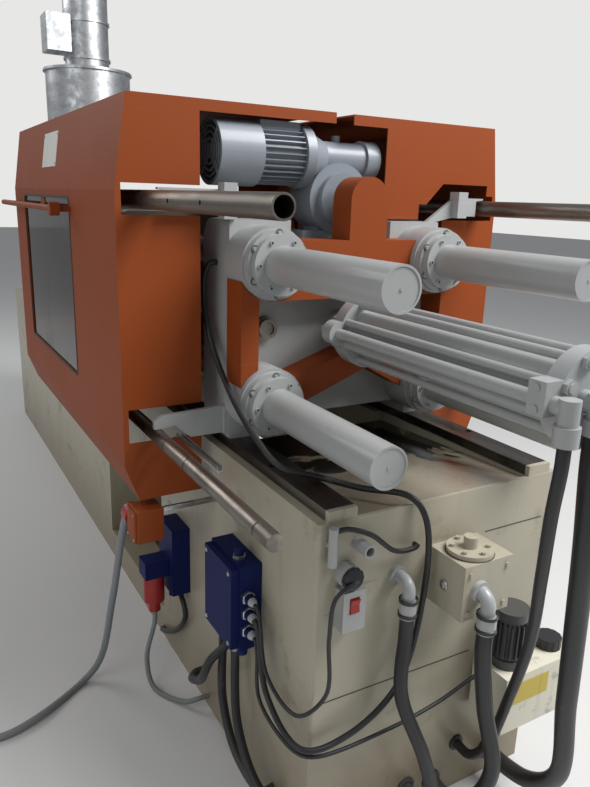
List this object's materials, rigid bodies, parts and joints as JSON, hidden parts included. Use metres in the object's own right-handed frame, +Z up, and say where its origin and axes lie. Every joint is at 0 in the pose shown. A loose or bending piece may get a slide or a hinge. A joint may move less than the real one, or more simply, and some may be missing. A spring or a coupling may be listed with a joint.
{
  "type": "injection moulding machine",
  "caption": "Horizontal injection moulding machine with toggle clamp, sliding guard gates, hydraulic clamp cylinder and hopper-fed screw injection unit on one long bed.",
  "frame": {"origin": "on the floor, under the middle of the bed", "axes": "+X along the machine towards the clamp cylinder, +Y to the far side, +Z up"},
  "size_m": [4.51, 1.821, 2.76],
  "materials": {
    "cream_paint": "aged semi-gloss machine enamel, oily in places",
    "white_paint": "glossy off-white enamel",
    "orange_paint": "semi-gloss orange enamel, a little faded",
    "motor_paint": "light grey-blue enamel",
    "blue_paint": "dark blue enamel",
    "steel": "ground steel with a film of oil",
    "dark_steel": "forged steel, oiled",
    "rod_chrome": "hard chrome",
    "black_rubber": "matte black hose",
    "grey_rubber": "grey cable sheath",
    "black_plastic": "black plastic",
    "white_plastic": "translucent off-white plastic",
    "red_plastic": "red plastic",
    "smoked_pane": "smoked clear sheet",
    "hopper_metal": "plain sheet metal"
  },
  "bodies": {
    "root": {"bed": "cream_paint", "drip_deck": "cream_paint", "slideways": "steel", "fixed_platen": "cream_paint", "tie_bars": "steel", "platen_nuts": "dark_steel", "guard_bars": "steel", "suction_box": "cream_paint", "switch_box": "white_paint", "outlet_elbows": "white_paint", "lubrication_tank": "white_plastic", "lubrication_motor": "motor_paint", "junction_boxes": "blue_paint", "limit_switch_box": "orange_paint", "red_plugs": "red_plastic", "injection_rods": "steel", "return_hoses": "black_rubber", "black_cables": "black_rubber", "grey_cables": "grey_rubber"},
    "tail": {"tail_plate": "cream_paint", "chain_cover": "orange_paint", "tie_bar_covers": "white_paint", "drive_motor": "motor_paint", "worm_gearbox": "motor_paint", "clamp_cylinder": "white_paint", "cylinder_fittings": "white_paint", "crosshead_guides": "white_paint", "bar_brackets": "white_paint", "drive_chain": "dark_steel", "clamp_hoses": "black_rubber"},
    "near_gate": {"near_gate": "orange_paint", "near_window": "smoked_pane"},
    "far_gate": {"far_gate": "orange_paint", "far_window": "smoked_pane"},
    "rear_link_upper": {"rear_link_upper": "dark_steel"},
    "front_link_upper": {"front_link_upper": "dark_steel"},
    "moving_platen": {"moving_platen": "cream_paint"},
    "crosshead_link_upper": {"crosshead_link_upper": "dark_steel"},
    "crosshead": {"crosshead": "cream_paint", "piston_rod": "rod_chrome"},
    "rear_link_lower": {"rear_link_lower": "dark_steel"},
    "front_link_lower": {"front_link_lower": "dark_steel"},
    "crosshead_link_lower": {"crosshead_link_lower": "dark_steel"},
    "ejector": {"ejector": "steel"},
    "carriage": {"carriage": "cream_paint", "barrel": "steel", "hopper": "hopper_metal", "hopper_loader": "hopper_metal"},
    "hopper_slide": {"hopper_slide": "steel"},
    "injection_beam": {"injection_beam": "cream_paint"},
    "screw": {"screw": "steel"},
    "nut_upper_near": {"nut_upper_near": "steel"},
    "nut_upper_far": {"nut_upper_far": "steel"},
    "nut_lower_near": {"nut_lower_near": "steel"},
    "nut_lower_far": {"nut_lower_far": "steel"},
    "drive_sprocket": {"drive_sprocket": "steel"},
    "tension_sprocket": {"tension_sprocket": "steel"},
    "motor_fan": {"motor_fan": "black_plastic"},
    "rocker_switch": {"rocker_switch": "red_plastic"},
    "tank_cap": {"tank_cap": "black_plastic"}
  },
  "joints": [
    {"name": "mould_height_adjustment", "type": "slide", "parent": "root", "child": "tail", "axis": [1, 0, 0], "range_m": [0, 0.15]},
    {"name": "near_gate_slide", "type": "slide", "parent": "root", "child": "near_gate", "axis": [1, 0, 0], "range_m": [0, 0.62]},
    {"name": "far_gate_slide", "type": "slide", "parent": "root", "child": "far_gate", "axis": [1, 0, 0], "range_m": [0, 0.62]},
    {"name": "toggle_rear_link_upper_turn", "type": "hinge", "parent": "tail", "child": "rear_link_upper", "pos_m": [1.281, 0, 1.39], "axis": [0, 1, 0], "range_deg": [0, 57]},
    {"name": "toggle_front_link_upper_turn", "type": "hinge", "parent": "rear_link_upper", "child": "front_link_upper", "pos_m": [0.961, 0, 1.39], "axis": [0, 1, 0], "range_deg": [-114, 0]},
    {"name": "moving_platen_stroke", "type": "hinge", "parent": "front_link_upper", "child": "moving_platen", "pos_m": [0.641, 0, 1.39], "axis": [0, 1, 0], "range_deg": [0, 57]},
    {"name": "crosshead_link_upper_turn", "type": "hinge", "parent": "rear_link_upper", "child": "crosshead_link_upper", "pos_m": [1.02986, 0, 1.45729], "axis": [0, 1, 0], "range_deg": [-114, 0]},
    {"name": "crosshead_stroke", "type": "hinge", "parent": "crosshead_link_upper", "child": "crosshead", "pos_m": [0.77872, 0, 1.39], "axis": [0, 1, 0], "range_deg": [0, 57]},
    {"name": "toggle_rear_link_lower_turn", "type": "hinge", "parent": "tail", "child": "rear_link_lower", "pos_m": [1.281, 0, 1.09], "axis": [0, 1, 0], "range_deg": [-57, 0]},
    {"name": "toggle_front_link_lower_turn", "type": "hinge", "parent": "rear_link_lower", "child": "front_link_lower", "pos_m": [0.961, 0, 1.09], "axis": [0, 1, 0], "range_deg": [0, 114]},
    {"name": "crosshead_link_lower_turn", "type": "hinge", "parent": "rear_link_lower", "child": "crosshead_link_lower", "pos_m": [1.02986, 0, 1.02271], "axis": [0, 1, 0], "range_deg": [0, 114]},
    {"name": "ejector_stroke", "type": "slide", "parent": "moving_platen", "child": "ejector", "axis": [-1, 0, 0], "range_m": [0, 0.055]},
    {"name": "injection_carriage_slide", "type": "slide", "parent": "root", "child": "carriage", "axis": [-1, 0, 0], "range_m": [0, 0.2]},
    {"name": "hopper_slide_pull", "type": "slide", "parent": "carriage", "child": "hopper_slide", "axis": [0, 1, 0], "range_m": [0, 0.065]},
    {"name": "injection_stroke", "type": "slide", "parent": "carriage", "child": "injection_beam", "axis": [-1, 0, 0], "range_m": [0, 0.12]},
    {"name": "screw_turn", "type": "hinge", "parent": "injection_beam", "child": "screw", "pos_m": [-1.2, 0, 1.24], "axis": [1, 0, 0], "continuous": true},
    {"name": "nut_upper_near_turn", "type": "hinge", "parent": "tail", "child": "nut_upper_near", "pos_m": [1.571, -0.267, 1.421], "axis": [1, 0, 0], "continuous": true},
    {"name": "nut_upper_far_turn", "type": "hinge", "parent": "tail", "child": "nut_upper_far", "pos_m": [1.571, 0.267, 1.421], "axis": [1, 0, 0], "continuous": true},
    {"name": "nut_lower_near_turn", "type": "hinge", "parent": "tail", "child": "nut_lower_near", "pos_m": [1.571, -0.267, 1.059], "axis": [1, 0, 0], "continuous": true},
    {"name": "nut_lower_far_turn", "type": "hinge", "parent": "tail", "child": "nut_lower_far", "pos_m": [1.571, 0.267, 1.059], "axis": [1, 0, 0], "continuous": true},
    {"name": "drive_sprocket_turn", "type": "hinge", "parent": "tail", "child": "drive_sprocket", "pos_m": [1.571, 0.026, 1.582], "axis": [1, 0, 0], "continuous": true},
    {"name": "tension_sprocket_turn", "type": "hinge", "parent": "tail", "child": "tension_sprocket", "pos_m": [1.571, 0.047, 1.158], "axis": [1, 0, 0], "continuous": true},
    {"name": "motor_fan_turn", "type": "hinge", "parent": "tail", "child": "motor_fan", "pos_m": [1.413, -0.3, 1.693], "axis": [0, 1, 0], "continuous": true},
    {"name": "rocker_switch_tilt", "type": "hinge", "parent": "root", "child": "rocker_switch", "pos_m": [2.08, -0.288, 0.714], "axis": [0, -1, 0], "range_deg": [0, 20]},
    {"name": "tank_cap_turn", "type": "hinge", "parent": "root", "child": "tank_cap", "pos_m": [2.122, 0.342, 0.45], "axis": [0, 0, 1], "continuous": true}
  ],
  "couplings": [
    {"joint": "toggle_front_link_upper_turn", "follows": "toggle_rear_link_upper_turn", "ratio": -2},
    {"joint": "moving_platen_stroke", "follows": "toggle_rear_link_upper_turn", "ratio": 1},
    {"joint": "crosshead_link_upper_turn", "follows": "toggle_rear_link_upper_turn", "ratio": -2},
    {"joint": "crosshead_stroke", "follows": "toggle_rear_link_upper_turn", "ratio": 1},
    {"joint": "toggle_rear_link_lower_turn", "follows": "toggle_rear_link_upper_turn", "ratio": -1},
    {"joint": "toggle_front_link_lower_turn", "follows": "toggle_rear_link_upper_turn", "ratio": 2},
    {"joint": "crosshead_link_lower_turn", "follows": "toggle_rear_link_upper_turn", "ratio": 2},
    {"joint": "nut_upper_near_turn", "follows": "mould_height_adjustment", "rad_per_m": 785.4},
    {"joint": "nut_upper_far_turn", "follows": "mould_height_adjustment", "rad_per_m": 785.4},
    {"joint": "nut_lower_near_turn", "follows": "mould_height_adjustment", "rad_per_m": 785.4},
    {"joint": "nut_lower_far_turn", "follows": "mould_height_adjustment", "rad_per_m": 785.4},
    {"joint": "drive_sprocket_turn", "follows": "mould_height_adjustment", "rad_per_m": 1361.4},
    {"joint": "tension_sprocket_turn", "follows": "mould_height_adjustment", "rad_per_m": -1361.4}
  ]
}
